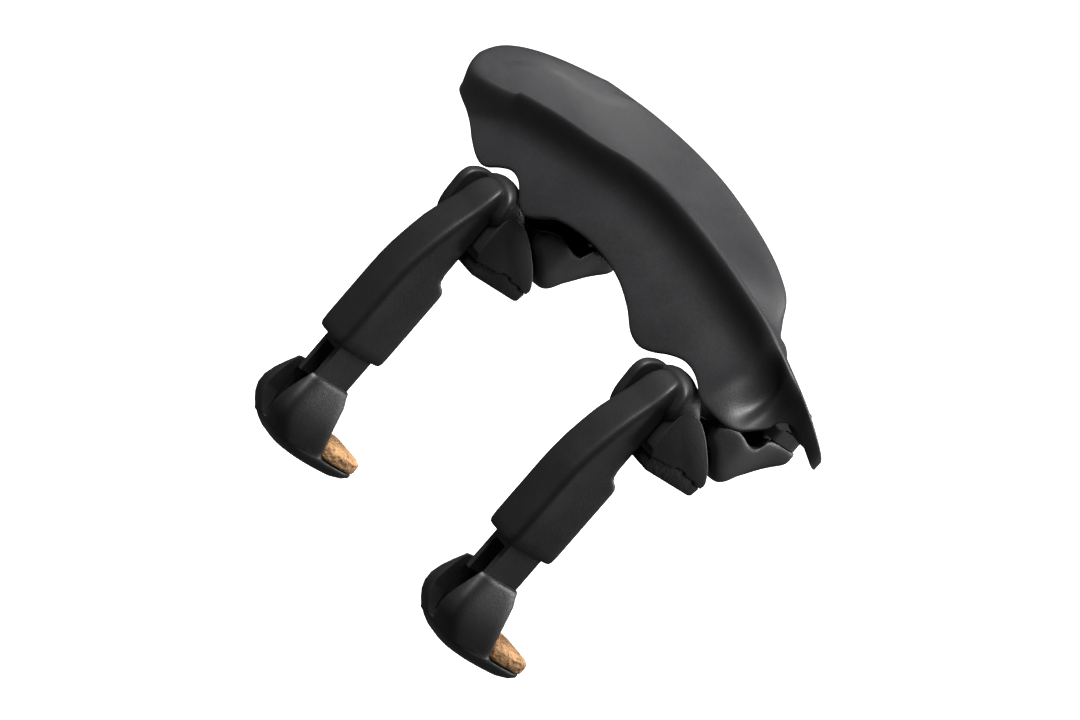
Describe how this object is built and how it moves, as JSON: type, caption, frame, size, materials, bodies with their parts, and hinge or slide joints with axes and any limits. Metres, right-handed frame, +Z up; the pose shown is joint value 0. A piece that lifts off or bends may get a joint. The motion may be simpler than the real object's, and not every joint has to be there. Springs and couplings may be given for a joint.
{
  "type": "violin chin rest",
  "caption": "Moulded cup-shaped violin chin rest on a lift and tilt frame, held to the instrument's edge by tall clamp legs with spindle-driven cork-tipped hook feet.",
  "frame": {"origin": "midway between the two clamps, on the plane of the upper pads' faces (the violin's top edge), at the Y of the spindle axes", "axes": "+X from the left clamp to the right clamp, +Y over the violin's body, +Z up, away from the violin's top"},
  "size_m": [0.119, 0.0576, 0.0812],
  "materials": {
    "plate_plastic": "satin, fine spark-eroded grain",
    "leg_plastic": "matte, fine moulded grain",
    "cork": "natural agglomerated cork",
    "pad_rubber": "matte rubber-cork",
    "steel": "machined",
    "brass": "turned"
  },
  "bodies": {
    "base": {"left_sleeve": "leg_plastic", "left_sleeve_pin": "steel", "left_spindle_nut": "brass", "left_shoe": "leg_plastic", "left_shoe_pad": "pad_rubber", "left_carrier": "leg_plastic", "left_shoe_screw": "steel", "left_lift_nut": "brass", "right_sleeve": "leg_plastic", "right_sleeve_pin": "steel", "right_spindle_nut": "brass", "right_shoe": "leg_plastic", "right_shoe_pad": "pad_rubber", "right_carrier": "leg_plastic", "right_shoe_screw": "steel", "right_lift_nut": "brass", "base_bridge": "leg_plastic", "bridge_screws": "steel", "guide_posts": "steel"},
    "left_foot": {"left_slider": "leg_plastic", "left_foot": "leg_plastic", "left_foot_pin": "steel", "left_cork": "cork"},
    "right_foot": {"right_slider": "leg_plastic", "right_foot": "leg_plastic", "right_foot_pin": "steel", "right_cork": "cork"},
    "left_spindle": {"left_spindle": "steel"},
    "right_spindle": {"right_spindle": "steel"},
    "lift_frame": {"lift_frame": "leg_plastic"},
    "left_jack": {"left_jack_screw": "steel"},
    "right_jack": {"right_jack_screw": "steel"},
    "tilt_cap": {"tilt_cap": "steel"},
    "tilt_screw": {"tilt_screw": "steel"},
    "chin_plate": {"chin_plate": "plate_plastic", "left_hinge_pin": "steel", "right_hinge_pin": "steel", "thrust_disc": "steel"}
  },
  "joints": [
    {"name": "left_foot_slide", "type": "slide", "parent": "base", "child": "left_foot", "axis": [0, 0, 1], "range_m": [-0.005, 0.005]},
    {"name": "left_spindle_turn", "type": "hinge", "parent": "left_foot", "child": "left_spindle", "pos_m": [-0.03025, 0, -0.03], "axis": [0, 0, 1], "range_deg": [-3610, 3610]},
    {"name": "right_foot_slide", "type": "slide", "parent": "base", "child": "right_foot", "axis": [0, 0, 1], "range_m": [-0.005, 0.005]},
    {"name": "right_spindle_turn", "type": "hinge", "parent": "right_foot", "child": "right_spindle", "pos_m": [0.03025, 0, -0.03], "axis": [0, 0, 1], "range_deg": [-3610, 3610]},
    {"name": "lift", "type": "slide", "parent": "base", "child": "lift_frame", "axis": [0, 0, 1], "range_m": [0, 0.004]},
    {"name": "left_jack_turn", "type": "hinge", "parent": "lift_frame", "child": "left_jack", "pos_m": [-0.03275, 0.0343, 0.018], "axis": [0, 0, 1], "range_deg": [-5, 2890]},
    {"name": "right_jack_turn", "type": "hinge", "parent": "lift_frame", "child": "right_jack", "pos_m": [0.02775, 0.0343, 0.018], "axis": [0, 0, 1], "range_deg": [-5, 2890]},
    {"name": "plate_tilt", "type": "hinge", "parent": "lift_frame", "child": "chin_plate", "pos_m": [0, 0.0092, 0.022], "axis": [1, 0, 0], "range_deg": [0, 8]},
    {"name": "tilt_cap_rise", "type": "slide", "parent": "lift_frame", "child": "tilt_cap", "axis": [0, 0, 1], "range_m": [-0.0001, 0.0038]},
    {"name": "tilt_screw_turn", "type": "hinge", "parent": "tilt_cap", "child": "tilt_screw", "pos_m": [0, 0.0343, 0.02], "axis": [0, 0, 1], "range_deg": [-5, 2800]}
  ],
  "couplings": [
    {"joint": "left_spindle_turn", "follows": "left_foot_slide", "rad_per_m": 12566},
    {"joint": "right_spindle_turn", "follows": "right_foot_slide", "rad_per_m": 12566},
    {"joint": "left_jack_turn", "follows": "lift", "rad_per_m": 12566},
    {"joint": "right_jack_turn", "follows": "lift", "rad_per_m": 12566},
    {"joint": "tilt_cap_rise", "follows": "plate_tilt", "m_per_rad": 0.0251},
    {"joint": "tilt_screw_turn", "follows": "plate_tilt", "ratio": 315.42}
  ]
}
